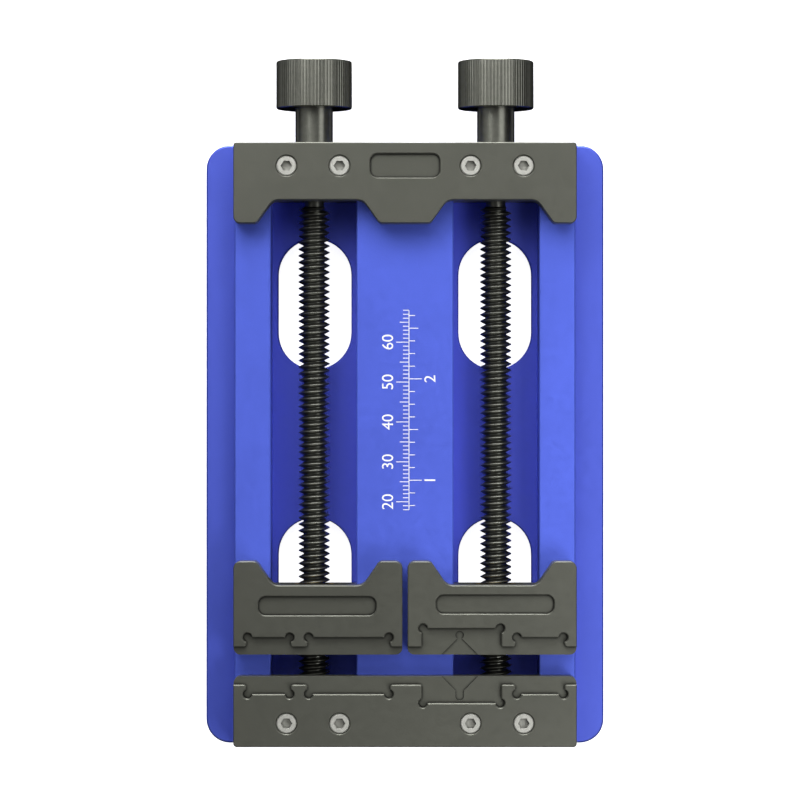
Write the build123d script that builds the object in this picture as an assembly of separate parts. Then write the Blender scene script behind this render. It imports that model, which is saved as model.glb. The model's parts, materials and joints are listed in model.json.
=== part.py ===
from build123d import *
from math import cos, radians, sin
import os

# A two-axis vise for holding circuit boards while they are repaired.
#
# A milled bed carries two lead screws side by side, each turned by its own knob. Each screw
# draws its own jaw along the bed, towards or away from one fixed jaw. The jaws have stepped
# ledges for board edges and chips. +Y points at the knobs, +X to the right, +Z up, and the
# origin is under the middle of the whole object on the surface that it stands on.
# Lengths are in millimetres.

# ---- driving dimensions --------------------------------------------------------------

# Bed: a block with two channels between three rails, and a lower flange along each side.
BED_W = 100.0
BED_L = 150.4
BED_CORNER_R = 6.0
BED_T = 16.0
FLANGE_DROP = 4.0
FLOOR_T = 3.0
BAR_W = 85.4  # the rails' overall width, and the width of every bar across them
CHANNEL_W = 21.5
SCREW_X = 22.9  # each lead screw's distance from the middle
SLOT_W = 18.55
SLOT_L = 33.15
SLOT_Y = 35.5  # the through slots' distance from the bed's middle
BED_CHAMFER = 0.4
RAIL_CHAMFER = 0.25
SLOT_CHAMFER = 0.3

# Feet: round pads let into the underside.
FOOT_PROUD = 1.0
FOOT_T = 2.0
FOOT_R = 6.0
FOOT_INSET = 10.0

# Bars: the end bridge, the fixed jaw and the two moving jaws.
PLATE_T = 7.0
BAR_CHAMFER = 0.22
BRIDGE_BODY = 13.9
BRIDGE_HORNS = 20.1
FIXED_JAW_L = 17.5
JAW_L = 23.3
JAW_GAP = 1.3  # between the two moving jaws
REST_GAP = 5.4  # between the fixed jaw and the moving jaws
NOTCH_FLOOR = 11.2  # half widths of the notch that shows the lead screw
NOTCH_MOUTH = 15.3
BRIDGE_NOTCH_DEPTH = 5.8
JAW_NOTCH_DEPTH = 6.0
FIT_GAP = 0.05
SLIDE_GAP = 0.1
BRIDGE_LEG_LIFT = 0.1
JAW_LEG_LIFT = 1.0
JAW_LEG_L = 14.4
JAW_LEG_INSET = 0.25  # from the notch's floor
FIXED_LEG_L = 14.0

# Ledges: a strip along each clamping edge, with deeper bays and a relief hole in each corner.
LEDGE_DEPTH = 1.6
LEDGE_STRIP = 2.0
BAY_REACH = 4.35
DEEP_BAY_REACH = 6.6
RELIEF_R = 1.15
RELIEF_INSET = 0.3
BAY_MOUTH_R = 0.65
DEEP_BAY_MOUTH_R = 0.3
LEFT_BAYS = [(-39.5, -28.4, BAY_REACH, BAY_MOUTH_R), (-24.3, -3.7, BAY_REACH, BAY_MOUTH_R)]
RIGHT_BAYS = [(4.15, 24.0, DEEP_BAY_REACH, DEEP_BAY_MOUTH_R), (27.5, 39.7, BAY_REACH, BAY_MOUTH_R)]
VEE_X = 13.6
VEE_HALF = 4.6
VEE_RELIEF_R = 1.05
JAW_VEE_RELIEF_REACH = 4.87
FIXED_VEE_RELIEF_REACH = 5.0
VEE_DEPTH = 0.35

# Recesses in the bars' top faces.
RECESS_DEPTH = 1.0
RECESS_R = 1.9
JAW_RECESS = (29.4, 4.7)
LEFT_RECESS = (-21.85, 12.2)  # its middle: x, and the distance from the clamping edge
RIGHT_RECESS = (22.4, 12.6)
BRIDGE_RECESS = (17.4, 6.0)
BRIDGE_RECESS_FROM_END = 5.8

# Lead screws, with their journals at both ends.
AXIS_HEIGHT = 10.5  # above the bed's underside
THREAD_R = 3.94
THREAD_ROOT_R = 2.65
LEAD = 1.65
CREST_FLAT = 0.12
ROOT_FLAT = 0.16
JOURNAL_R = 2.48
COLLAR_R = 2.9
COLLAR_L = 1.5
NECK_SHOWN = 1.6
THREAD_END_CLEARANCE = 1.4
END_JOURNAL_L = 8.0
NUT_R = 5.0
NUT_L = 12.0
NUT_CLEARANCE = 0.1
THREAD_CLEARANCE = 0.3

# Ball bearings in the bridge, plain bushes in the fixed jaw.
BEARING_BORE_R = 2.5
BEARING_R = 4.0
BEARING_W = 2.5
BEARING_WALL = 2.0  # the bridge's wall outside the bearing
BALL_R = 0.5
BALL_COUNT = 10
LAND_GAP = 0.3
RACE_SLACK = 0.03
CAGE_T = 0.36
CAGE_W = 1.7
BUSH_R = 3.5
BUSH_L = 6.0
BUSH_RUNNING = 0.04

# Knobs.
KNOB_R = 9.55
KNOB_L = 11.95
KNOB_REACH = 21.2  # from the bed's end to the knob's outer face
KNURL_COUNT = 78
KNURL_DEPTH = 0.06
KNURL_LAND = 0.6  # each tooth's flat share of the pitch
KNOB_CHAMFER = 0.25
HUB_R = 4.72
HUB_GAP = 0.15
KNOB_BORE_L = 16.0
SPACER_R = 2.85
SPACER_HOLE_R = 3.3
SET_SCREW_R = 1.5
SET_SCREW_L = 2.0
SET_SCREW_FROM_FACE = 5.0
SET_SCREW_HEX = 1.5

# Socket-head screws that hold the bridge and the fixed jaw.
BOLT_SPREAD = 6.6  # each side of the lead screw
BOLT_FROM_END = 5.85
BOLT_R = 1.5
BOLT_HEAD_R = 2.5
BOLT_HEAD_H = 3.0
BOLT_SUNK = 0.25
BOLT_HEX = 2.5
BOLT_HEX_DEPTH = 1.6
BOLT_TIP_LIFT = 0.2
BOLT_HOLE_R = 1.7
COUNTERBORE_R = 2.62
THREADED_FIT = 0.02

# ---- places worked out from them --------------------------------------------------------

BED_FAR = (BED_L - KNOB_REACH) / 2
BED_NEAR = BED_FAR - BED_L
BED_MIDDLE = (BED_FAR + BED_NEAR) / 2
UNDERSIDE_Z = FOOT_PROUD
FLOOR_Z = UNDERSIDE_Z + FLOOR_T
RAIL_Z = UNDERSIDE_Z + BED_T
FLANGE_Z = RAIL_Z - FLANGE_DROP
TOP_Z = RAIL_Z + PLATE_T
LEDGE_Z = TOP_Z - LEDGE_DEPTH
AXIS_Z = UNDERSIDE_Z + AXIS_HEIGHT
CLAMP_Y = BED_NEAR + FIXED_JAW_L
JAW_Y = CLAMP_Y + REST_GAP
JAW_BACK = JAW_Y + JAW_L
JAW_LEG_FAR = JAW_BACK - JAW_NOTCH_DEPTH - JAW_LEG_INSET
BRIDGE_INNER = BED_FAR - BRIDGE_BODY
HALF_BAR = BAR_W / 2
HUB_FACE = BED_FAR + HUB_GAP
BEARING_Y = BED_FAR - BEARING_WALL - BEARING_W / 2
COLLAR_Y = BEARING_Y - BEARING_W / 2 - COLLAR_L / 2
THREAD_FAR = BRIDGE_INNER - NECK_SHOWN
FIXED_LEG_Y = BED_NEAR + FIXED_LEG_L
THREAD_NEAR = FIXED_LEG_Y + THREAD_END_CLEARANCE
BALL_RING_R = (BEARING_BORE_R + BEARING_R) / 2
HEAD_SEAT_Z = TOP_Z - BOLT_SUNK - BOLT_HEAD_H
BOLT_TIP_Z = UNDERSIDE_Z + BOLT_TIP_LIFT
TURNED_AXIS = Axis((0, 0, 0), (0, 1, 0))
SIDES = {"left": -1, "right": 1}


# ---- helpers --------------------------------------------------------------------------


def between(x0, x1, y0, y1, z0, z1):
    """A block between two opposite corners."""
    block = Box(x1 - x0, y1 - y0, z1 - z0)
    return Pos((x0 + x1) / 2, (y0 + y1) / 2, (z0 + z1) / 2) * block


def prism(sketch, z0, z1):
    """A plan-view sketch given height, from z0 up to z1."""
    return extrude(Pos(0, 0, z0) * sketch, z1 - z0, dir=(0, 0, 1))


def rod(radius, y0, y1):
    """A round bar along Y, on the lead screw's own axis."""
    return Pos(0, (y0 + y1) / 2, 0) * Rot(90, 0, 0) * Cylinder(radius, y1 - y0)


def tube(outer, inner, y0, y1):
    return rod(outer, y0, y1) - rod(inner, y0, y1)


def turned(points):
    """A turned shape from (radius, y) points, closed along the axis."""
    outline = Polyline(*[(r, y) for r, y in points], close=True)
    return revolve(make_face(outline), TURNED_AXIS)


def on_axis(shape, side):
    """Puts a shape made on the origin's Y axis onto that side's lead screw."""
    return Pos(side * SCREW_X, 0, AXIS_Z) * shape


def corner_fillet(sketch, points, radius):
    """Rounds the sketch's corners that lie at the given points."""
    here = [v for v in sketch.vertices() if any(abs(v.X - x) + abs(v.Y - y) < 0.01 for x, y in points)]
    return fillet(here, radius)


def chamfer_at(part, height, size):
    """Breaks every edge that lies in the plane at that height."""
    return chamfer(part.edges().filter_by_position(Axis.Z, height, height), size)


def at_screws(sketch_or_part):
    """Copies a shape to the bridge's or fixed jaw's four screw places, across the bar."""
    spots = [side * SCREW_X + offset for side in SIDES.values() for offset in (-BOLT_SPREAD, BOLT_SPREAD)]
    return [Pos(x, 0, 0) * sketch_or_part for x in spots]


# ---- bed and feet ---------------------------------------------------------------------


def foot_places():
    x = BED_W / 2 - FOOT_INSET
    y = BED_L / 2 - FOOT_INSET
    return [Pos(sx * x, BED_MIDDLE + sy * y, 0) for sx in (-1, 1) for sy in (-1, 1)]


def bed_plate():
    """The milled bed: flanges, three rails, two channels and four through slots."""
    outline = Pos(0, BED_MIDDLE) * RectangleRounded(BED_W, BED_L, BED_CORNER_R)
    flanges = prism(outline, UNDERSIDE_Z, FLANGE_Z)
    for height in (UNDERSIDE_Z, FLANGE_Z):
        flanges = chamfer_at(flanges, height, BED_CHAMFER)
    rails = between(-HALF_BAR, HALF_BAR, BED_NEAR, BED_FAR, FLOOR_Z, RAIL_Z)
    for side in SIDES.values():
        x = side * SCREW_X
        half = CHANNEL_W / 2
        rails -= between(x - half, x + half, BED_NEAR, BED_FAR, FLOOR_Z, RAIL_Z)
        flanges -= between(x - half, x + half, BED_NEAR, BED_FAR, FLOOR_Z, RAIL_Z)
    rails = chamfer_at(rails, RAIL_Z, RAIL_CHAMFER)
    bed = flanges + rails
    for side in SIDES.values():
        for end in (-1, 1):
            bed -= Pos(side * SCREW_X, BED_MIDDLE + end * SLOT_Y, 0) * slot_cutter()
    for place in foot_places():
        bed -= place * Pos(0, 0, UNDERSIDE_Z) * Cylinder(FOOT_R + FIT_GAP, 2 * (FOOT_T - FOOT_PROUD))
    tapped = prism(Circle(BOLT_R + THREADED_FIT), 0, RAIL_Z)
    for y in (BED_FAR - BOLT_FROM_END, BED_NEAR + BOLT_FROM_END):
        for hole in at_screws(Pos(0, y, 0) * tapped):
            bed -= hole
    return bed


def slot_cutter():
    """A round-ended slot through the floor, with its rims opened out above and below."""
    sketch = SlotOverall(SLOT_L, SLOT_W, rotation=90)
    cutter = prism(sketch, 0, RAIL_Z)
    upper = extrude(Pos(0, 0, FLOOR_Z - SLOT_CHAMFER) * sketch, SLOT_CHAMFER, dir=(0, 0, 1), taper=-45)
    lower = extrude(Pos(0, 0, UNDERSIDE_Z + SLOT_CHAMFER) * sketch, SLOT_CHAMFER, dir=(0, 0, -1), taper=-45)
    return cutter + upper + lower


def rubber_feet():
    pad = prism(Circle(FOOT_R), 0, FOOT_T)
    return [place * pad for place in foot_places()]


# ---- bars across the bed ----------------------------------------------------------------


def horned_outline(x0, x1, flat_y, horn_y, notch_centres, notch_depth, flat_r, horn_r):
    """A bar with one straight side and, on the other, a notch over each lead screw."""
    floor_y = horn_y + notch_depth if flat_y > horn_y else horn_y - notch_depth
    mouths, floors = [], []
    points = [(x0, flat_y), (x1, flat_y), (x1, horn_y)]
    for x in sorted(notch_centres, reverse=True):
        right = [(x + NOTCH_MOUTH, horn_y), (x + NOTCH_FLOOR, floor_y)]
        left = [(x - NOTCH_FLOOR, floor_y), (x - NOTCH_MOUTH, horn_y)]
        points += right + left
        mouths += [right[0], left[1]]
        floors += [right[1], left[0]]
    points.append((x0, horn_y))
    sketch = make_face(Polyline(*points, close=True))
    for corners, radius in (
        (floors, 3.0),
        (mouths, 1.6),
        ([(x0, horn_y), (x1, horn_y)], horn_r),
        ([(x0, flat_y), (x1, flat_y)], flat_r),
    ):
        sketch = corner_fillet(sketch, corners, radius)
    return sketch


def ledge_region(bays, edge_y, into, x0, x1):
    """The part of a bar's top that is milled down for board edges; into is +1 or -1 along Y."""
    strip_y = edge_y + into * LEDGE_STRIP
    region = Pos((x0 + x1) / 2, (edge_y + strip_y) / 2) * Rectangle(x1 - x0, LEDGE_STRIP)
    for left, right, reach, mouth_r in bays:
        wall_y = edge_y + into * reach
        region += Pos((left + right) / 2, (edge_y + wall_y) / 2) * Rectangle(right - left, reach)
        region = corner_fillet(region, [(left, strip_y), (right, strip_y)], mouth_r)
        for x in (left + RELIEF_INSET, right - RELIEF_INSET):
            region += Pos(x, wall_y) * Circle(RELIEF_R)
    return region


def vee_region(edge_y, into, relief_reach):
    """The shallow V that holds a square chip by its corner."""
    corners = [(VEE_X - VEE_HALF, edge_y), (VEE_X + VEE_HALF, edge_y), (VEE_X, edge_y + into * VEE_HALF)]
    triangle = make_face(Polyline(*corners, close=True))
    return triangle + Pos(VEE_X, edge_y + into * relief_reach) * Circle(VEE_RELIEF_R)


def vee_slot():
    """The straight sides of the fixed jaw's V relief."""
    far = CLAMP_Y - FIXED_VEE_RELIEF_REACH
    near = CLAMP_Y - VEE_HALF + VEE_RELIEF_R
    return Pos(VEE_X, (far + near) / 2) * Rectangle(2 * VEE_RELIEF_R, near - far)


def recess(size, x, y):
    sketch = Pos(x, y) * RectangleRounded(size[0], size[1], RECESS_R)
    return prism(sketch, TOP_Z - RECESS_DEPTH, TOP_Z)


def leg(side, y0, y1, gap, lift):
    """The block under a bar that reaches down a channel to the lead screw."""
    half = CHANNEL_W / 2 - gap
    x = side * SCREW_X
    return between(x - half, x + half, y0, y1, FLOOR_Z + lift, RAIL_Z)


def bolt_holes(bar, y):
    for hole in at_screws(Pos(0, y, 0) * prism(Circle(BOLT_HOLE_R), 0, TOP_Z)):
        bar -= hole
    for seat in at_screws(Pos(0, y, 0) * prism(Circle(COUNTERBORE_R), HEAD_SEAT_Z, TOP_Z)):
        bar -= seat
    return bar


def end_bridge():
    """The bar at the knobs' end, which carries both bearings."""
    centres = [side * (HALF_BAR + JAW_GAP / 2) / 2 for side in SIDES.values()]
    horn_y = BED_FAR - BRIDGE_HORNS
    outline = horned_outline(-HALF_BAR, HALF_BAR, BED_FAR, horn_y, centres, BRIDGE_NOTCH_DEPTH, 0.8, 1.6)
    bar = prism(outline, RAIL_Z, TOP_Z)
    bar -= recess(BRIDGE_RECESS, 0, BED_FAR - BRIDGE_RECESS_FROM_END)
    bar = bolt_holes(bar, BED_FAR - BOLT_FROM_END)
    bar = chamfer_at(bar, TOP_Z, BAR_CHAMFER)
    for side in SIDES.values():
        foot = leg(side, BRIDGE_INNER, BED_FAR, FIT_GAP, BRIDGE_LEG_LIFT)
        for hole in at_screws(Pos(0, BED_FAR - BOLT_FROM_END, 0) * prism(Circle(BOLT_HOLE_R), 0, RAIL_Z)):
            foot -= hole
        bar += foot
        seat_end = BED_FAR - BEARING_WALL
        bar -= on_axis(rod(BEARING_R + FIT_GAP / 2, BRIDGE_INNER, seat_end), side)
        bar -= on_axis(rod(SPACER_HOLE_R, seat_end, BED_FAR), side)
    return bar


def fixed_jaw():
    """The bar that both moving jaws close against."""
    sketch = Pos(0, (BED_NEAR + CLAMP_Y) / 2) * Rectangle(BAR_W, FIXED_JAW_L)
    sketch = corner_fillet(sketch, [(-HALF_BAR, CLAMP_Y), (HALF_BAR, CLAMP_Y)], 1.7)
    sketch = corner_fillet(sketch, [(-HALF_BAR, BED_NEAR), (HALF_BAR, BED_NEAR)], 0.9)
    bar = prism(sketch, RAIL_Z, TOP_Z)
    region = ledge_region(LEFT_BAYS + RIGHT_BAYS, CLAMP_Y, -1, -HALF_BAR, HALF_BAR)
    bar -= prism(region, LEDGE_Z, TOP_Z)
    bar = bolt_holes(bar, BED_NEAR + BOLT_FROM_END)
    bar = chamfer_at(bar, TOP_Z, BAR_CHAMFER)
    vee = vee_region(CLAMP_Y, -1, FIXED_VEE_RELIEF_REACH) + vee_slot()
    bar -= prism(vee, LEDGE_Z - VEE_DEPTH, LEDGE_Z)
    for side in SIDES.values():
        foot = leg(side, BED_NEAR, FIXED_LEG_Y, FIT_GAP, BRIDGE_LEG_LIFT)
        for hole in at_screws(Pos(0, BED_NEAR + BOLT_FROM_END, 0) * prism(Circle(BOLT_HOLE_R), 0, RAIL_Z)):
            foot -= hole
        bar += foot
        blind_end = THREAD_NEAR - END_JOURNAL_L - 1.0
        bar -= on_axis(rod(BUSH_R + THREADED_FIT, FIXED_LEG_Y - BUSH_L, FIXED_LEG_Y), side)
        bar -= on_axis(rod(JOURNAL_R + 0.4, blind_end, FIXED_LEG_Y), side)
    return bar


def moving_jaw(side):
    """A jaw that its own lead screw draws along the bed."""
    inner, outer = side * JAW_GAP / 2, side * HALF_BAR
    x0, x1 = min(inner, outer), max(inner, outer)
    middle = (x0 + x1) / 2
    outline = horned_outline(x0, x1, JAW_Y, JAW_BACK, [middle], JAW_NOTCH_DEPTH, 1.7, 1.8)
    jaw = prism(outline, RAIL_Z + FIT_GAP, TOP_Z)
    bays = LEFT_BAYS if side < 0 else RIGHT_BAYS
    jaw -= prism(ledge_region(bays, JAW_Y, 1, x0, x1), LEDGE_Z, TOP_Z)
    recess_x, from_edge = LEFT_RECESS if side < 0 else RIGHT_RECESS
    jaw -= recess(JAW_RECESS, recess_x, JAW_Y + from_edge)
    jaw = chamfer_at(jaw, TOP_Z, BAR_CHAMFER)
    if side > 0:
        vee = vee_region(JAW_Y, 1, JAW_VEE_RELIEF_REACH)
        jaw -= prism(vee, LEDGE_Z - VEE_DEPTH, LEDGE_Z)
    leg_near = JAW_LEG_FAR - JAW_LEG_L
    jaw += leg(side, leg_near, JAW_LEG_FAR, SLIDE_GAP, JAW_LEG_LIFT) + leg_top(side, leg_near, JAW_LEG_FAR)
    jaw -= on_axis(rod(NUT_R + THREADED_FIT, JAW_LEG_FAR - NUT_L, JAW_LEG_FAR), side)
    jaw -= on_axis(rod(THREAD_R + THREAD_CLEARANCE, leg_near, JAW_LEG_FAR), side)
    return jaw


def leg_top(side, y0, y1):
    """Joins a moving jaw's leg to its plate across the running gap over the rails."""
    half = CHANNEL_W / 2 - SLIDE_GAP
    x = side * SCREW_X
    return between(x - half, x + half, y0, y1, RAIL_Z, RAIL_Z + 2 * FIT_GAP)


# ---- lead screws, nuts, bearings and bushes -------------------------------------------------


def lead_screw():
    """A screw with a journal and collar at the bearing and a journal at the bush.

    The thread's turns are drawn as separate rings one lead apart."""
    shaft_far = HUB_FACE + KNOB_BORE_L - 0.3
    points = [
        (0, THREAD_NEAR - END_JOURNAL_L),
        (JOURNAL_R - 0.3, THREAD_NEAR - END_JOURNAL_L),
        (JOURNAL_R, THREAD_NEAR - END_JOURNAL_L + 0.3),
        (JOURNAL_R, THREAD_NEAR),
        (THREAD_ROOT_R, THREAD_NEAR),
    ]
    rings = int((THREAD_FAR - THREAD_NEAR) / LEAD)
    first = THREAD_NEAR + (THREAD_FAR - THREAD_NEAR - rings * LEAD) / 2
    for ring in range(rings):
        start = first + ring * LEAD
        points += [
            (THREAD_ROOT_R, start + ROOT_FLAT / 2),
            (THREAD_R, start + (LEAD - CREST_FLAT) / 2),
            (THREAD_R, start + (LEAD + CREST_FLAT) / 2),
            (THREAD_ROOT_R, start + LEAD - ROOT_FLAT / 2),
        ]
    points += [
        (THREAD_ROOT_R, THREAD_FAR),
        (JOURNAL_R, THREAD_FAR),
        (JOURNAL_R, COLLAR_Y - COLLAR_L / 2),
        (COLLAR_R, COLLAR_Y - COLLAR_L / 2),
        (COLLAR_R, COLLAR_Y + COLLAR_L / 2),
        (JOURNAL_R, COLLAR_Y + COLLAR_L / 2),
        (JOURNAL_R, shaft_far - 0.3),
        (JOURNAL_R - 0.3, shaft_far),
        (0, shaft_far),
    ]
    return turned(points)


def lead_nut():
    return tube(NUT_R, THREAD_R + NUT_CLEARANCE, JAW_LEG_FAR - NUT_L, JAW_LEG_FAR)


def groove():
    """The ring-shaped race that the balls run in."""
    return Pos(0, BEARING_Y, 0) * Rot(90, 0, 0) * Torus(BALL_RING_R, BALL_R + RACE_SLACK)


def bearing_outer_ring():
    half = BEARING_W / 2
    return tube(BEARING_R, BALL_RING_R + LAND_GAP, BEARING_Y - half, BEARING_Y + half) - groove()


def bearing_inner_ring():
    half = BEARING_W / 2
    return tube(BALL_RING_R - LAND_GAP, BEARING_BORE_R, BEARING_Y - half, BEARING_Y + half) - groove()


def ball_places():
    angles = [360 * (i + 0.5) / BALL_COUNT for i in range(BALL_COUNT)]
    return [Pos(0, BEARING_Y, 0) * Rot(0, a, 0) * Pos(BALL_RING_R, 0, 0) for a in angles]


def bearing_balls():
    return [place * Sphere(BALL_R) for place in ball_places()]


def bearing_cage():
    half = CAGE_W / 2
    cage = tube(BALL_RING_R + CAGE_T / 2, BALL_RING_R - CAGE_T / 2, BEARING_Y - half, BEARING_Y + half)
    pocket = Rot(0, 90, 0) * Cylinder(BALL_R + RACE_SLACK, 3 * CAGE_T)
    for place in ball_places():
        cage -= place * pocket
    return cage


def end_bush():
    return tube(BUSH_R, JOURNAL_R + BUSH_RUNNING, FIXED_LEG_Y - BUSH_L, FIXED_LEG_Y)


# ---- knobs and fasteners ----------------------------------------------------------------


def knurled_blank(y0, y1):
    """A straight-knurled bar: narrow shallow V grooves between flat-topped teeth."""
    points = []
    groove_middle = (1 + KNURL_LAND) / 2
    for tooth in range(KNURL_COUNT):
        for share, radius in ((0, KNOB_R), (KNURL_LAND, KNOB_R), (groove_middle, KNOB_R - KNURL_DEPTH)):
            angle = radians(360 * (tooth + share) / KNURL_COUNT)
            points.append((radius * cos(angle), radius * sin(angle)))
    blank = extrude(make_face(Polyline(*points, close=True)), y1 - y0, dir=(0, 0, 1))
    return Pos(0, y1, 0) * Rot(90, 0, 0) * blank


def knob():
    """A knurled head on a plain hub, bored for the lead screw's end."""
    outer = HUB_FACE - HUB_GAP + KNOB_REACH
    inner = outer - KNOB_L
    envelope = turned(
        [
            (0, HUB_FACE),
            (HUB_R, HUB_FACE),
            (HUB_R, inner),
            (KNOB_R - KNOB_CHAMFER, inner),
            (KNOB_R, inner + KNOB_CHAMFER),
            (KNOB_R, outer - KNOB_CHAMFER),
            (KNOB_R - KNOB_CHAMFER, outer),
            (0, outer),
        ]
    )
    hub = rod(HUB_R, HUB_FACE, inner)
    body = (knurled_blank(inner, outer) & envelope) + hub
    body -= rod(JOURNAL_R + THREADED_FIT, HUB_FACE, HUB_FACE + KNOB_BORE_L)
    body -= set_screw_hole()
    return body


def set_screw_hole():
    y = HUB_FACE + SET_SCREW_FROM_FACE
    hole = Cylinder(SET_SCREW_R + THREADED_FIT, HUB_R, align=(Align.CENTER, Align.CENTER, Align.MAX))
    return Pos(0, y, 0) * hole


def knob_set_screw():
    """The small screw in the hub's lower side that grips the shaft."""
    y = HUB_FACE + SET_SCREW_FROM_FACE
    body = Cylinder(SET_SCREW_R, SET_SCREW_L, align=(Align.CENTER, Align.CENTER, Align.MAX))
    socket = extrude(RegularPolygon(SET_SCREW_HEX / 2, 6, major_radius=False), SET_SCREW_L / 2)
    return Pos(0, y, -JOURNAL_R - THREADED_FIT) * (body - Pos(0, 0, -SET_SCREW_L) * socket)


def spacer_sleeve():
    """Fills the gap on the shaft between the knob's hub and the bearing's inner ring."""
    return tube(SPACER_R, BEARING_BORE_R, BEARING_Y + BEARING_W / 2, HUB_FACE)


def socket_screw():
    """One socket-head screw, upright over the origin."""
    head = prism(Circle(BOLT_HEAD_R), HEAD_SEAT_Z, HEAD_SEAT_Z + BOLT_HEAD_H)
    top = HEAD_SEAT_Z + BOLT_HEAD_H
    head = chamfer_at(head, top, 0.3)
    hexagon = RegularPolygon(BOLT_HEX / 2, 6, major_radius=False)
    head -= prism(hexagon, top - BOLT_HEX_DEPTH, top)
    return head + prism(Circle(BOLT_R), BOLT_TIP_Z, HEAD_SEAT_Z)


# ---- writing every piece ------------------------------------------------------------------


def write(name, shape):
    solids = shape if isinstance(shape, list) else [shape]
    whole = solids[0]
    if len(solids) > 1:
        whole = Compound(children=[Part(solid.wrapped) for solid in solids])
    export_step(whole, f"parts/{name}.step")


def write_all():
    os.makedirs("parts", exist_ok=True)
    write("bed_plate", bed_plate())
    write("rubber_feet", rubber_feet())
    write("end_bridge", end_bridge())
    write("fixed_jaw", fixed_jaw())
    write("bridge_screws", at_screws(Pos(0, BED_FAR - BOLT_FROM_END, 0) * socket_screw()))
    write("fixed_jaw_screws", at_screws(Pos(0, BED_NEAR + BOLT_FROM_END, 0) * socket_screw()))
    per_side = {
        "lead_screw": lead_screw(),
        "lead_nut": lead_nut(),
        "knob": knob(),
        "knob_set_screw": knob_set_screw(),
        "spacer_sleeve": spacer_sleeve(),
        "bearing_outer_ring": bearing_outer_ring(),
        "bearing_inner_ring": bearing_inner_ring(),
        "bearing_balls": bearing_balls(),
        "bearing_cage": bearing_cage(),
        "end_bush": end_bush(),
    }
    for side_name, side in SIDES.items():
        write(f"{side_name}_jaw", moving_jaw(side))
        for name, shape in per_side.items():
            pieces = shape if isinstance(shape, list) else [shape]
            write(f"{side_name}_{name}", [on_axis(piece, side) for piece in pieces])


write_all()
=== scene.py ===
import json
import math

import bmesh
import bpy
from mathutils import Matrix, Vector


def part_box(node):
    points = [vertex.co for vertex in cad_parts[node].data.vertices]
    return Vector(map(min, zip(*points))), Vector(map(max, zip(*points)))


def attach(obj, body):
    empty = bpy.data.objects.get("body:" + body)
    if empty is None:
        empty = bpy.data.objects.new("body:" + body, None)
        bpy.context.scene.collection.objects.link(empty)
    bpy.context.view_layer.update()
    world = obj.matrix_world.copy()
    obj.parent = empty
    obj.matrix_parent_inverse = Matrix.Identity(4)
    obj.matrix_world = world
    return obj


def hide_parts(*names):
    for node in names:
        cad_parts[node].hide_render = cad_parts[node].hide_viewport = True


# Looks for a two-screw circuit-board vise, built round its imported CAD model. Everything is in
# metres in the CAD's own frame: +Y towards the knobs, +X to the right, Z = 0 where it stands.

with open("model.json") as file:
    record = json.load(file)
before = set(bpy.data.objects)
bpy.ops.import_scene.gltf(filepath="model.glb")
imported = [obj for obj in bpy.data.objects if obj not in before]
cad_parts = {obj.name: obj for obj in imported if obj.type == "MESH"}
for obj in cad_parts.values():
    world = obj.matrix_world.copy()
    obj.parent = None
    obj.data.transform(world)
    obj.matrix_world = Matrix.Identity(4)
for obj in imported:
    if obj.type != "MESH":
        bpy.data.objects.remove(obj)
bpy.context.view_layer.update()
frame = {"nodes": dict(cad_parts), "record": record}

MM = 0.001
SIDES = ("left", "right")

# Lead screws.
THREAD_R = 3.94 * MM
ROOT_R = 2.65 * MM
LEAD = 1.65 * MM
CREST_R = 0.16 * MM
ROOT_FLAT = 0.05  # half of the thread's root flat, as a share of the lead
CREST_DEGREES = (-63, -42, -21, 0, 21, 42, 63)
JOURNAL_R = 2.48 * MM
COLLAR_R = 2.9 * MM
NEAR_JOURNAL_L = 8.0 * MM
BRIDGE_BODY = 13.9 * MM
NECK_SHOWN = 1.6 * MM
COLLAR_NEAR = 6.0 * MM  # this and the next are measured from the bridge's far face
COLLAR_FAR = 4.5 * MM
SHAFT_EDGE = 0.3 * MM
COLLAR_EDGE = 0.1 * MM
CORE_GAP = 0.3 * MM  # how far the shaft stays under the thread's root
CORE_LIP = 0.03 * MM  # how long the lip is that closes each end of the thread
THREAD_STEPS = 48
RUN_OUT = 0.9 * MM  # the length over which the thread fades to its root, at each end
RUN_OUT_POWER = 0.8

# Printed scale on the middle rail.
PRINT_T = 0.03 * MM
TICK = 0.09 * MM  # half a mark's width
SCALE_X = 1.0 * MM
SCALE_FROM = 18  # millimetres of opening
SCALE_TO = 68
INCH = 25.4
LONG_TICK = 3.2 * MM
MIDDLE_TICK = 2.3 * MM
SHORT_TICK = 1.5 * MM
NUMBER_HEIGHT = 4.0 * MM
MM_NUMBERS_AT = -4.0 * MM  # the foot of each row of numbers, from the scale's middle line
INCH_NUMBERS_AT = 6.6 * MM
JAW_LEG_TO_RAIL = 12.0 * MM  # from the lowest point of a jaw's leg up to the rails' top

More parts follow.
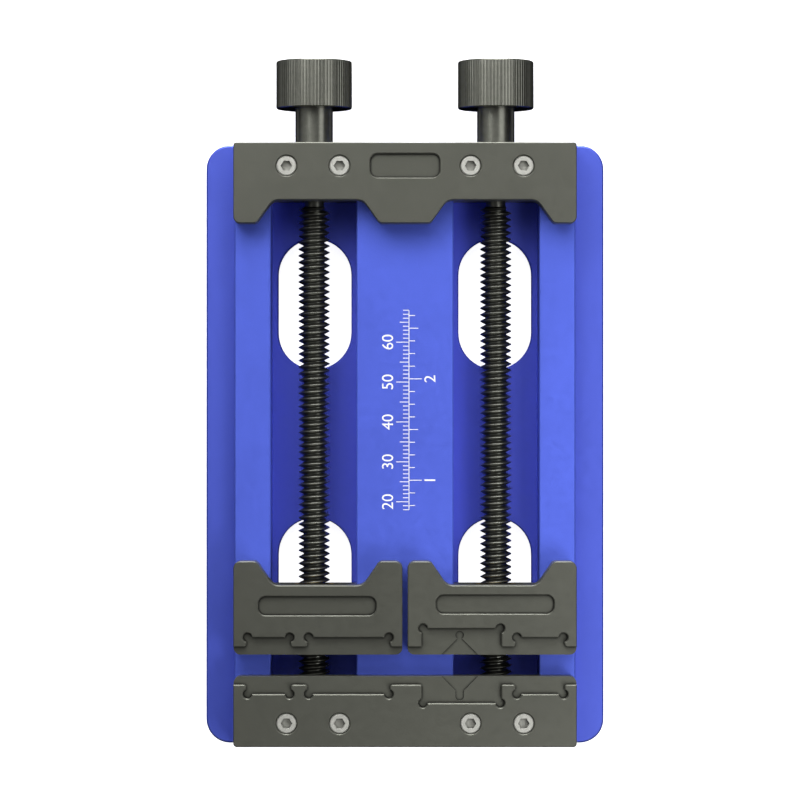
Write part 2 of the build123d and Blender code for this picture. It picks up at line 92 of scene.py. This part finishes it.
# Camera, stage and light.
CAMERA_AT = Vector((-1.25 * MM, 0.5 * MM, 869 * MM))
CAMERA_LENS = 153.0
SENSOR = 36.0
CLIP_NEAR = 0.05
CLIP_FAR = 20.0
STAGE_R = 4.0
STAGE_GLOW = 0.93
DOME_ROWS = 12
DOME_STEPS = 32
FLOOR_DROP = 0.05 * MM  # keeps the floor clear of the feet's faces
SKY = [  # soft round patches of light, far away: (towards, inner and outer angle, strength)
    ((0, 1, 1), 12, 40, 2.25),
    ((0, 1, 0.03), 6, 22, 16.0),
    ((-0.8, 0, 0.6), 15, 48, 0.3),
    ((0, 0, 1), 8, 35, 0.08),
    ((1, 0, -0.58), 4, 15, 0.26),
    ((-1, 0, -0.6), 4, 15, 0.24),
]
SOFT_BOXES = [  # (name, place, aim, size, power)
    ("east_strip", (0.1125, 0, 0.1425), (0, 0, 0.02), (0.32, 0.09), 0.115),
    ("south_east", (0.2, -0.22, 0.3), (0, 0, 0), (0.2, 0.2), 0.6),
    ("north_west", (-0.13, 0.2, 0.21), (0, 0, 0), (0.15, 0.15), 0.32),
    ("north", (0.0, 0.32, 0.25), (0, 0, 0), (0.3, 0.15), 0.57),
]


# ---- small helpers -------------------------------------------------------------------


def srgb(red, green, blue):
    """A screen colour, 0 to 255, as the linear colour that shaders use."""

    def linear(value):
        share = value / 255
        return share / 12.92 if share <= 0.04045 else ((share + 0.055) / 1.055) ** 2.4

    return (linear(red), linear(green), linear(blue), 1.0)


def mesh_object(name, verts, faces, sharp_angle=35):
    """A new mesh piece, smooth except across edges sharper than the angle."""
    mesh = bpy.data.meshes.new(name)
    mesh.from_pydata(verts, [], faces)
    work = bmesh.new()
    work.from_mesh(mesh)
    bmesh.ops.remove_doubles(work, verts=work.verts, dist=1e-7)
    bmesh.ops.recalc_face_normals(work, faces=work.faces)
    work.to_mesh(mesh)
    work.free()
    mesh.shade_smooth()
    mesh.set_sharp_from_angle(angle=math.radians(sharp_angle))
    piece = bpy.data.objects.new(name, mesh)
    bpy.context.scene.collection.objects.link(piece)
    return piece


def ring_verts(radius, y, centre):
    """A circle of points round the line along Y through centre."""
    points = []
    for step in range(THREAD_STEPS):
        angle = 2 * math.pi * step / THREAD_STEPS
        points.append((centre.x + radius * math.cos(angle), y, centre.z + radius * math.sin(angle)))
    return points


# ---- materials -----------------------------------------------------------------------


class Surface:
    """A Principled material with a short way to add and join nodes."""

    def __init__(self, name, colour, roughness, metallic):
        self.material = bpy.data.materials.new(name)
        self.material.use_nodes = True
        self.tree = self.material.node_tree
        self.bsdf = self.tree.nodes["Principled BSDF"]
        self.bsdf.inputs["Base Color"].default_value = colour
        self.bsdf.inputs["Roughness"].default_value = roughness
        self.bsdf.inputs["Metallic"].default_value = metallic
        self.normal = None
        coordinates = self.add("ShaderNodeTexCoord")
        scale = self.add("ShaderNodeVectorMath", operation="SCALE")
        scale.inputs["Scale"].default_value = 1 / MM
        self.join(coordinates.outputs["Object"], scale.inputs[0])
        self.place = scale.outputs[0]

    def add(self, kind, **settings):
        made = self.tree.nodes.new(kind)
        for key, value in settings.items():
            setattr(made, key, value)
        return made

    def join(self, source, target):
        self.tree.links.new(source, target)

    def stretched(self, x, y, z):
        """The coordinates in millimetres, stretched by a factor along each axis."""
        mapped = self.add("ShaderNodeVectorMath", operation="MULTIPLY")
        mapped.inputs[1].default_value = (x, y, z)
        self.join(self.place, mapped.inputs[0])
        return mapped.outputs[0]

    def noise(self, per_mm, detail=2.0, rough=0.5, place=None):
        made = self.add("ShaderNodeTexNoise")
        made.inputs["Scale"].default_value = per_mm
        made.inputs["Detail"].default_value = detail
        made.inputs["Roughness"].default_value = rough
        self.join(place or self.place, made.inputs["Vector"])
        return made.outputs["Fac"]

    def spread(self, source, low, high, from_low=0.3, from_high=0.7):
        """Maps a noise's usual range to low..high."""
        made = self.add("ShaderNodeMapRange")
        made.inputs["From Min"].default_value = from_low
        made.inputs["From Max"].default_value = from_high
        made.inputs["To Min"].default_value = low
        made.inputs["To Max"].default_value = high
        self.join(source, made.inputs["Value"])
        return made.outputs["Result"]

    def blend(self, amount, first, second):
        """A colour between two, by a node's output; each is a colour or another node's output."""
        made = self.add("ShaderNodeMix", data_type="RGBA")
        self.join(amount, made.inputs["Factor"])
        colour_a, colour_b, mixed = made.inputs[6], made.inputs[7], made.outputs[2]
        for socket, value in ((colour_a, first), (colour_b, second)):
            if isinstance(value, tuple):
                socket.default_value = value
            else:
                self.join(value, socket)
        return mixed

    def times(self, first, second):
        """The product of two nodes' outputs."""
        made = self.add("ShaderNodeMath", operation="MULTIPLY")
        self.join(first, made.inputs[0])
        self.join(second, made.inputs[1])
        return made.outputs[0]

    def bump(self, height, strength, distance_mm):
        made = self.add("ShaderNodeBump")
        made.inputs["Strength"].default_value = strength
        made.inputs["Distance"].default_value = distance_mm * MM
        self.join(height, made.inputs["Height"])
        if self.normal is not None:
            self.join(self.normal, made.inputs["Normal"])
        self.normal = made.outputs["Normal"]

    def edges(self, radius_mm, rounded=True):
        """How near a point is to a sharp edge, from 0 to 1; it can also round the normal there."""
        bevel = self.add("ShaderNodeBevel", samples=4)
        bevel.inputs["Radius"].default_value = radius_mm * MM
        geometry = self.add("ShaderNodeNewGeometry")
        dot = self.add("ShaderNodeVectorMath", operation="DOT_PRODUCT")
        self.join(bevel.outputs["Normal"], dot.inputs[0])
        self.join(geometry.outputs["Normal"], dot.inputs[1])
        if rounded:
            self.normal = bevel.outputs["Normal"]
        return self.spread(dot.outputs["Value"], 0.0, 1.0, from_low=0.999, from_high=0.93)

    def crevices(self, reach_mm, low=0.5, high=0.95):
        """An occlusion mask for painted shade: from 1 deep in inside corners to 0 out in the open.
        """
        occlusion = self.add("ShaderNodeAmbientOcclusion", samples=8, only_local=True)
        occlusion.inputs["Distance"].default_value = reach_mm * MM
        return self.spread(occlusion.outputs["AO"], 1.0, 0.0, from_low=low, from_high=high)

    def colour(self, source):
        self.join(source, self.bsdf.inputs["Base Color"])

    def roughness(self, source):
        self.join(source, self.bsdf.inputs["Roughness"])

    def done(self):
        if self.normal is not None:
            self.join(self.normal, self.bsdf.inputs["Normal"])
        return self.material


def tint(colour, factor):
    """A colour made darker or lighter by a factor."""
    return tuple(min(1.0, c * factor) for c in colour[:3]) + (1.0,)


def anodised(name, colour, worn, corner_shade=0.12, painted_levels=()):
    """Blasted and dyed aluminium: fine grain, a faint cloudiness, edges worn lighter where the
    colour rubs thin, and painted shade in inside corners.

    Each level is (height in mm, colour): below it the colour tends to that one, a painted shade
    where that colour is darker and a painted light where it is lighter."""
    roughness, wear = 0.42, 0.35
    surface = Surface(name, colour, roughness, metallic=0.55)
    near_edge = surface.edges(0.05)
    clouds = surface.noise(0.045, detail=3.0)
    speckle = surface.noise(5.5, detail=2.0)
    patches = surface.noise(0.6, detail=4.0, rough=0.6)
    base = surface.blend(surface.spread(clouds, 0.0, 1.0), tint(colour, 0.94), tint(colour, 1.05))
    base = surface.blend(surface.spread(speckle, 0.0, 0.16), base, tint(colour, 0.72))
    # painted shade: the colour darkens in inside corners and at the foot of steps
    base = surface.blend(surface.crevices(0.7), base, tint(colour, corner_shade))
    # painted shade on the flanges and painted light on the channels' floors, set by height
    for level, painted_tone in painted_levels:
        height = surface.add("ShaderNodeSeparateXYZ")
        surface.join(surface.place, height.inputs[0])
        low, high = level - LEVEL_BLUR, level + LEVEL_BLUR
        below = surface.spread(height.outputs["Z"], LEVEL_SHARE, 0.0, from_low=low, from_high=high)
        base = surface.blend(below, base, painted_tone)
    rubbed = surface.times(near_edge, surface.spread(patches, 0.0, wear))
    surface.colour(surface.blend(rubbed, base, worn))
    surface.roughness(surface.spread(patches, roughness - 0.04, roughness + 0.05))
    surface.bump(speckle, 0.18, 0.02)
    surface.bump(surface.noise(14.0, detail=1.0), 0.12, 0.01)
    return surface.done()


def turned_metal(
    name,
    colour,
    worn,
    roughness,
    metallic=0.9,
    wear=0.25,
    ringing=1.0,
    rounded=True,
    inner_face_shade=1.0,
):
    """Metal turned in a lathe about a line along Y: faint rings along its length.

    Faces that look towards -Y have their colour multiplied by the inner-face factor, a painted
    shade."""
    surface = Surface(name, colour, roughness, metallic)
    near_edge = surface.edges(0.05, rounded)
    along = surface.stretched(0.04, 6.0, 0.04)
    rings_noise = surface.noise(2.2, detail=3.0, rough=0.7, place=along)
    patches = surface.noise(0.8, detail=4.0, rough=0.6)
    base = surface.blend(surface.spread(patches, 0.0, 1.0), tint(colour, 0.9), tint(colour, 1.1))
    # painted shade on faces that look towards -Y
    if inner_face_shade < 1.0:
        facing = surface.add("ShaderNodeSeparateXYZ")
        surface.join(surface.add("ShaderNodeNewGeometry").outputs["Normal"], facing.inputs[0])
        inward_shade = surface.spread(facing.outputs["Y"], 1.0, 0.0, from_low=-0.8, from_high=-0.4)
        base = surface.blend(inward_shade, base, tint(colour, inner_face_shade))
    rubbed = surface.times(near_edge, surface.spread(patches, 0.0, wear))
    surface.colour(surface.blend(rubbed, base, worn))
    low, high = roughness - 0.06 * ringing, roughness + 0.08 * ringing
    surface.roughness(surface.spread(rings_noise, low, high))
    surface.bump(rings_noise, 0.12 * ringing, 0.012)
    return surface.done()


def bright_steel(name, colour, worn, roughness):
    """Plated screw heads: clean and satin, with painted shade at the foot of the socket."""
    surface = Surface(name, colour, roughness, metallic=0.3)
    near_edge = surface.edges(0.08)
    patches = surface.noise(0.9, detail=4.0, rough=0.6)
    base = surface.blend(surface.spread(patches, 0.0, 1.0), tint(colour, 0.93), tint(colour, 1.03))
    # painted shade in the socket's inside corners
    base = surface.blend(surface.crevices(0.9, low=0.3, high=0.8), base, tint(colour, 0.34))
    rubbed = surface.times(near_edge, surface.spread(patches, 0.2, 0.8))
    surface.colour(surface.blend(rubbed, base, worn))
    surface.roughness(surface.spread(patches, roughness - 0.05, roughness + 0.05))
    surface.bump(surface.noise(9.0, detail=2.0), 0.08, 0.01)
    return surface.done()


def rubber(name, colour):
    """Moulded rubber: matte, fine-grained, with some dust."""
    surface = Surface(name, colour, 0.75, 0.0)
    surface.bsdf.inputs["Specular IOR Level"].default_value = 0.35
    dust = surface.noise(1.6, detail=4.0, rough=0.65)
    surface.colour(surface.blend(surface.spread(dust, 0.0, 0.35), colour, tint(colour, 3.0)))
    surface.roughness(surface.spread(dust, 0.68, 0.84))
    surface.bump(surface.noise(6.0, detail=3.0), 0.3, 0.03)
    return surface.done()


def ink(name, colour):
    """Screen-printed paint: matte, slightly uneven."""
    surface = Surface(name, colour, 0.55, 0.0)
    patches = surface.noise(1.4, detail=3.0)
    surface.colour(surface.blend(surface.spread(patches, 0.0, 1.0), tint(colour, 0.9), colour))
    surface.roughness(surface.spread(patches, 0.5, 0.62))
    surface.bump(surface.noise(9.0, detail=2.0), 0.15, 0.01)
    return surface.done()


BLUE = srgb(87, 108, 227)
BLUE_WORN = srgb(150, 165, 235)
BLUE_FLANGE_SHADE = srgb(73, 86, 192)  # painted shade on the side flanges
BLUE_CHANNEL_LIGHT = srgb(91, 103, 239)  # painted light on the channels' floors, over the flanges' painted shade
LEVEL_SHARE = 0.6  # how far the colour tends to a level's painted colour
LEVEL_BLUR = 1.5  # half the height over which it changes, in mm
GREY = srgb(89, 90, 82)
GREY_WORN = srgb(168, 168, 160)
KNOB_GREY = srgb(134, 135, 126)
SCREW_BLACK = srgb(109, 110, 104)
SCREW_WORN = srgb(132, 133, 127)
BRIGHT = srgb(179, 179, 172)
BRIGHT_WORN = srgb(214, 214, 208)
BAR_PAINTED_SHADE = {"left_jaw": 0.91}  # painted shade: a darker copy of the grey for the left jaw

MATERIALS = {
    "bed_blue": anodised(
        # painted shade in corners and on the flanges, painted light on the channels' floors
        "blue_anodised", BLUE, BLUE_WORN, corner_shade=0.8, painted_levels=((15, BLUE_FLANGE_SHADE), (8, BLUE_CHANNEL_LIGHT))
    ),
    "bar_grey": anodised("grey_anodised", GREY, GREY_WORN),
    "knob_grey": turned_metal(
        "knob_anodised",
        KNOB_GREY,
        GREY_WORN,
        roughness=0.28,
        metallic=0.93,
        wear=0.0,
        ringing=0.05,
        rounded=False,
        # painted shade on the knob's inner face
        inner_face_shade=0.1,
    ),
    "lead_screw_black": turned_metal(
        "black_oxide",
        SCREW_BLACK,
        SCREW_WORN,
        roughness=0.3,
        metallic=0.95,
        ringing=0.2,
        rounded=False,
    ),
    "screw_bright": bright_steel("bright_stainless", BRIGHT, BRIGHT_WORN, roughness=0.4),
    "set_screw_black": turned_metal("set_screw_oxide", srgb(50, 50, 48), srgb(120, 120, 112), 0.4),
    "sleeve_steel": turned_metal("sleeve_steel", srgb(190, 190, 188), srgb(225, 225, 222), 0.3),
    "bearing_steel": turned_metal("bearing_steel", srgb(205, 205, 206), srgb(235, 235, 235), 0.16),
    "cage_brass": turned_metal("cage_brass", srgb(205, 170, 98), srgb(230, 205, 140), 0.3),
    "nut_brass": turned_metal("nut_brass", srgb(208, 174, 104), srgb(232, 208, 146), 0.3),
    "bush_bronze": turned_metal("bush_bronze", srgb(172, 128, 82), srgb(205, 170, 120), 0.45),
    "feet_rubber": rubber("feet_rubber", srgb(34, 34, 36)),
}
INK = ink("print_white", srgb(240, 240, 238))


def dress(piece, material):
    """Gives a piece its material, in place of whatever it had."""
    piece.data.materials.clear()
    piece.data.materials.append(material)


def dress_cad_nodes():
    """Gives every CAD node its slot's material; a node listed in the bar shade table gets a darker
    copy of the grey, a painted shade.
    """
    for part in frame["record"]["subparts"]:
        node = part["node"]
        material = MATERIALS[part["material_slot"]]
        if node in BAR_PAINTED_SHADE:
            # painted shade: a darker copy of the grey for this node
            material = anodised(f"grey_{node}", tint(GREY, BAR_PAINTED_SHADE[node]), GREY_WORN)
        dress(frame["nodes"][node], material)


# ---- lead screws ---------------------------------------------------------------------


def thread_profile():
    """One lead of the thread as (share of the lead, radius): root, flank, round crest, flank."""
    profile = [(0.0, ROOT_R), (ROOT_FLAT, ROOT_R)]
    for degrees in CREST_DEGREES:
        angle = math.radians(degrees)
        along = CREST_R * math.sin(angle) / LEAD
        profile.append((0.5 + along, THREAD_R - CREST_R * (1 - math.cos(angle))))
    profile.append((1.0 - ROOT_FLAT, ROOT_R))
    return profile


def helical_thread(centre, near, far):
    """The points and faces of a right-hand thread between two planes across Y."""
    profile = thread_profile()
    turns = int((far - near) / LEAD) + 2
    rows = turns * len(profile)
    start = near - LEAD
    verts, faces = [], []
    for row in range(rows):
        turn, index = divmod(row, len(profile))
        share, radius = profile[index]
        for step in range(THREAD_STEPS):
            angle = 2 * math.pi * step / THREAD_STEPS
            y = start + LEAD * (turn + share + step / THREAD_STEPS)
            y = min(max(y, near), far)
            room = min(y - near, far - y) / RUN_OUT
            r = min(radius, ROOT_R + (THREAD_R - ROOT_R) * min(1.0, room) ** RUN_OUT_POWER)
            verts.append((centre.x + r * math.cos(angle), y, centre.z - r * math.sin(angle)))
    for row in range(rows - 1):
        for step in range(THREAD_STEPS):
            here = row * THREAD_STEPS + step
            if step < THREAD_STEPS - 1:
                faces.append((here, here + 1, here + 1 + THREAD_STEPS, here + THREAD_STEPS))
            elif row + len(profile) < rows - 1:
                ahead = (row + len(profile)) * THREAD_STEPS
                faces.append((here, ahead, ahead + THREAD_STEPS, here + THREAD_STEPS))
    return verts, faces


def turned_piece(name, centre, outline):
    """A closed lathe shape from (radius, y) points that start and end on the axis."""
    verts, faces, previous = [], [], None
    for radius, y in outline:
        if radius == 0.0:
            verts.append((centre.x, y, centre.z))
            ring = [len(verts) - 1] * THREAD_STEPS
        else:
            ring = list(range(len(verts), len(verts) + THREAD_STEPS))
            verts += ring_verts(radius, y, centre)
        if previous:
            for step in range(THREAD_STEPS):
                after = (step + 1) % THREAD_STEPS
                corners = (previous[step], previous[after], ring[after], ring[step])
                faces.append(tuple(dict.fromkeys(corners)))
        previous = ring
    return mesh_object(name, verts, faces)


def lead_screw(side):
    """A black lead screw with a true helical thread, in place of the CAD's plain rings."""
    node = f"{side}_lead_screw"
    low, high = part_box(node)
    centre = (low + high) / 2
    bridge_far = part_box("end_bridge")[1].y
    near = low.y + NEAR_JOURNAL_L
    far = bridge_far - BRIDGE_BODY - NECK_SHOWN
    verts, faces = helical_thread(centre, near, far)
    thread = mesh_object(f"{side}_thread", verts, faces, sharp_angle=25)
    collar_near = bridge_far - COLLAR_NEAR
    collar_far = bridge_far - COLLAR_FAR
    core = [
        (0.0, low.y),
        (JOURNAL_R - SHAFT_EDGE, low.y),
        (JOURNAL_R, low.y + SHAFT_EDGE),
        (JOURNAL_R, near),
        (ROOT_R, near),
        (ROOT_R, near + CORE_LIP),
        (ROOT_R - CORE_GAP, near + CORE_LIP),
        (ROOT_R - CORE_GAP, far - CORE_LIP),
        (ROOT_R, far - CORE_LIP),
        (ROOT_R, far),
        (JOURNAL_R, far),
        (JOURNAL_R, collar_near),
        (COLLAR_R - COLLAR_EDGE, collar_near),
        (COLLAR_R, collar_near + COLLAR_EDGE),
        (COLLAR_R, collar_far),
        (JOURNAL_R, collar_far),
        (JOURNAL_R, high.y - SHAFT_EDGE),
        (JOURNAL_R - SHAFT_EDGE, high.y),
        (0.0, high.y),
    ]
    shaft = turned_piece(f"{side}_shaft", centre, core)
    for piece in (thread, shaft):
        dress(piece, MATERIALS["lead_screw_black"])
        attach(piece, f"{side}_spindle")
        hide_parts(node)


# ---- printed scale -------------------------------------------------------------------


def flat_box(x0, x1, y0, y1, z0, z1, verts, faces):
    """Adds a thin block between two corners."""
    first = len(verts)
    verts += [(x, y, z) for z in (z0, z1) for x, y in ((x0, y0), (x1, y0), (x1, y1), (x0, y1))]
    sides = [(0, 1, 5, 4), (1, 2, 6, 5), (2, 3, 7, 6), (3, 0, 4, 7)]
    faces += [tuple(first + i for i in face) for face in sides + [(3, 2, 1, 0), (4, 5, 6, 7)]]


def printed_number(name, number, x, y, z):
    """A number read from the bed's right side, centred on y, with its foot at x."""
    curve = bpy.data.curves.new(f"number_{number}", "FONT")
    curve.body = str(number)
    curve.size = NUMBER_HEIGHT
    curve.extrude = PRINT_T / 2
    curve.align_x = "CENTER"
    text = bpy.data.objects.new(f"number_{number}", curve)
    bpy.context.scene.collection.objects.link(text)
    text.location = (x, y, z)
    text.rotation_euler = (0, 0, math.pi / 2)
    bpy.context.view_layer.update()
    evaluated = text.evaluated_get(bpy.context.evaluated_depsgraph_get())
    mesh = bpy.data.meshes.new_from_object(evaluated)
    mesh.transform(text.matrix_world)
    bpy.data.objects.remove(text)
    piece = bpy.data.objects.new(name, mesh)
    bpy.context.scene.collection.objects.link(piece)
    return piece


def tick_reach(mark, every, half):
    """How long a mark is: longest at every so many, and longer than the rest halfway between."""
    return LONG_TICK if mark % every == 0 else MIDDLE_TICK if mark % half == 0 else SHORT_TICK


def printed_scale():
    """White marks on the middle rail that show how far the jaws are open, in mm and in inches."""
    jaw_low, jaw_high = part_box("left_jaw")
    opening = jaw_low.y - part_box("fixed_jaw")[1].y
    zero = jaw_high.y - opening
    z0 = jaw_low.z + JAW_LEG_TO_RAIL
    z1 = z0 + PRINT_T
    middle = (z0 + z1) / 2
    verts, faces = [], []
    for mark in range(SCALE_FROM, SCALE_TO + 1):
        y = zero + mark * MM
        reach = tick_reach(mark, 10, 5)
        flat_box(SCALE_X - reach, SCALE_X, y - TICK, y + TICK, z0, z1, verts, faces)
    eighth = INCH / 8
    for mark in range(math.ceil(SCALE_FROM / eighth), math.floor(SCALE_TO / eighth) + 1):
        y = zero + mark * eighth * MM
        reach = tick_reach(mark, 8, 4)
        flat_box(SCALE_X, SCALE_X + reach, y - TICK, y + TICK, z0, z1, verts, faces)
    y0, y1 = zero + SCALE_FROM * MM, zero + SCALE_TO * MM
    flat_box(SCALE_X - TICK, SCALE_X + TICK, y0, y1, z0, z1, verts, faces)
    marks = [mesh_object("scale_marks", verts, faces)]
    for number in range(20, SCALE_TO, 10):
        place = (SCALE_X + MM_NUMBERS_AT, zero + number * MM, middle)
        marks.append(printed_number(f"scale_mm_{number}", number, *place))
    for number in (1, 2):
        place = (SCALE_X + INCH_NUMBERS_AT, zero + number * INCH * MM, middle)
        marks.append(printed_number(f"scale_inch_{number}", number, *place))
    for piece in marks:
        dress(piece, INK)
        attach(piece, "base")


# ---- stage, light and camera ---------------------------------------------------------


def only_seen_by_camera(piece):
    """Keeps a piece out of reflections, shadows and bounced light."""
    piece.visible_diffuse = False
    piece.visible_glossy = False
    piece.visible_transmission = False
    piece.visible_shadow = False


def pale_stage():
    """A white floor and a white dome over it. Neither adds to the light on the object."""
    signs = ((-1, -1), (1, -1), (1, 1), (-1, 1))
    corners = [(x * STAGE_R, y * STAGE_R, -FLOOR_DROP) for x, y in signs]
    floor = mesh_object("pale_floor", corners, [(0, 1, 2, 3)])
    verts, faces = [], []
    for row in range(DOME_ROWS + 1):
        angle = 0.5 * math.pi * row / DOME_ROWS
        for step in range(DOME_STEPS):
            turn = 2 * math.pi * step / DOME_STEPS
            r = STAGE_R * math.cos(angle)
            z = STAGE_R * math.sin(angle) - FLOOR_DROP
            verts.append((r * math.cos(turn), r * math.sin(turn), z))
    for row in range(DOME_ROWS):
        for step in range(DOME_STEPS):
            after = (step + 1) % DOME_STEPS
            here, above = row * DOME_STEPS, (row + 1) * DOME_STEPS
            faces.append((here + step, here + after, above + after, above + step))
    dome = mesh_object("pale_dome", verts, faces, sharp_angle=90)
    surface = Surface("stage_white", (0.8, 0.8, 0.8, 1.0), 0.9, 0.0)
    surface.bsdf.inputs["Emission Color"].default_value = (1.0, 1.0, 1.0, 1.0)
    surface.bsdf.inputs["Emission Strength"].default_value = STAGE_GLOW
    white = surface.done()
    for piece in (floor, dome):
        dress(piece, white)
        only_seen_by_camera(piece)


def soft_box(name, place, aim, size, power):
    """A rectangular lamp in one place, turned towards another."""
    light = bpy.data.lights.new(name, "AREA")
    light.shape = "RECTANGLE"
    light.size, light.size_y = size
    light.energy = power
    lamp = bpy.data.objects.new(name, light)
    bpy.context.scene.collection.objects.link(lamp)
    lamp.location = place
    lamp.rotation_mode = "QUATERNION"
    lamp.rotation_quaternion = (Vector(aim) - Vector(place)).to_track_quat("-Z", "Y")
    lamp.visible_camera = False


def sky():
    """Lights the scene from far away by soft round patches."""
    world = bpy.data.worlds.new("studio")
    bpy.context.scene.world = world
    world.use_nodes = True
    nodes, links = world.node_tree.nodes, world.node_tree.links
    background = nodes["Background"]
    background.inputs["Strength"].default_value = 1.0
    place = nodes.new("ShaderNodeTexCoord").outputs["Generated"]
    total = None
    for direction, inner, outer, strength in SKY:
        dot = nodes.new("ShaderNodeVectorMath")
        dot.operation = "DOT_PRODUCT"
        dot.inputs[1].default_value = Vector(direction).normalized()
        links.new(place, dot.inputs[0])
        patch = nodes.new("ShaderNodeMapRange")
        patch.interpolation_type = "SMOOTHSTEP"
        patch.inputs["From Min"].default_value = math.cos(math.radians(outer))
        patch.inputs["From Max"].default_value = math.cos(math.radians(inner))
        patch.inputs["To Max"].default_value = strength
        links.new(dot.outputs["Value"], patch.inputs["Value"])
        if total is None:
            total = patch.outputs["Result"]
        else:
            add = nodes.new("ShaderNodeMath")
            add.operation = "ADD"
            links.new(total, add.inputs[0])
            links.new(patch.outputs["Result"], add.inputs[1])
            total = add.outputs[0]
    links.new(total, background.inputs["Color"])


def camera():
    """A long lens that looks straight down."""
    data = bpy.data.cameras.new("camera")
    data.lens = CAMERA_LENS
    data.sensor_width = SENSOR
    data.clip_start = CLIP_NEAR
    data.clip_end = CLIP_FAR
    eye = bpy.data.objects.new("camera", data)
    bpy.context.scene.collection.objects.link(eye)
    eye.location = CAMERA_AT
    bpy.context.scene.camera = eye


dress_cad_nodes()
for side in SIDES:
    lead_screw(side)
printed_scale()
pale_stage()
sky()
for soft_box_settings in SOFT_BOXES:
    soft_box(*soft_box_settings)
camera()
bpy.context.scene.view_settings.view_transform = "Standard"
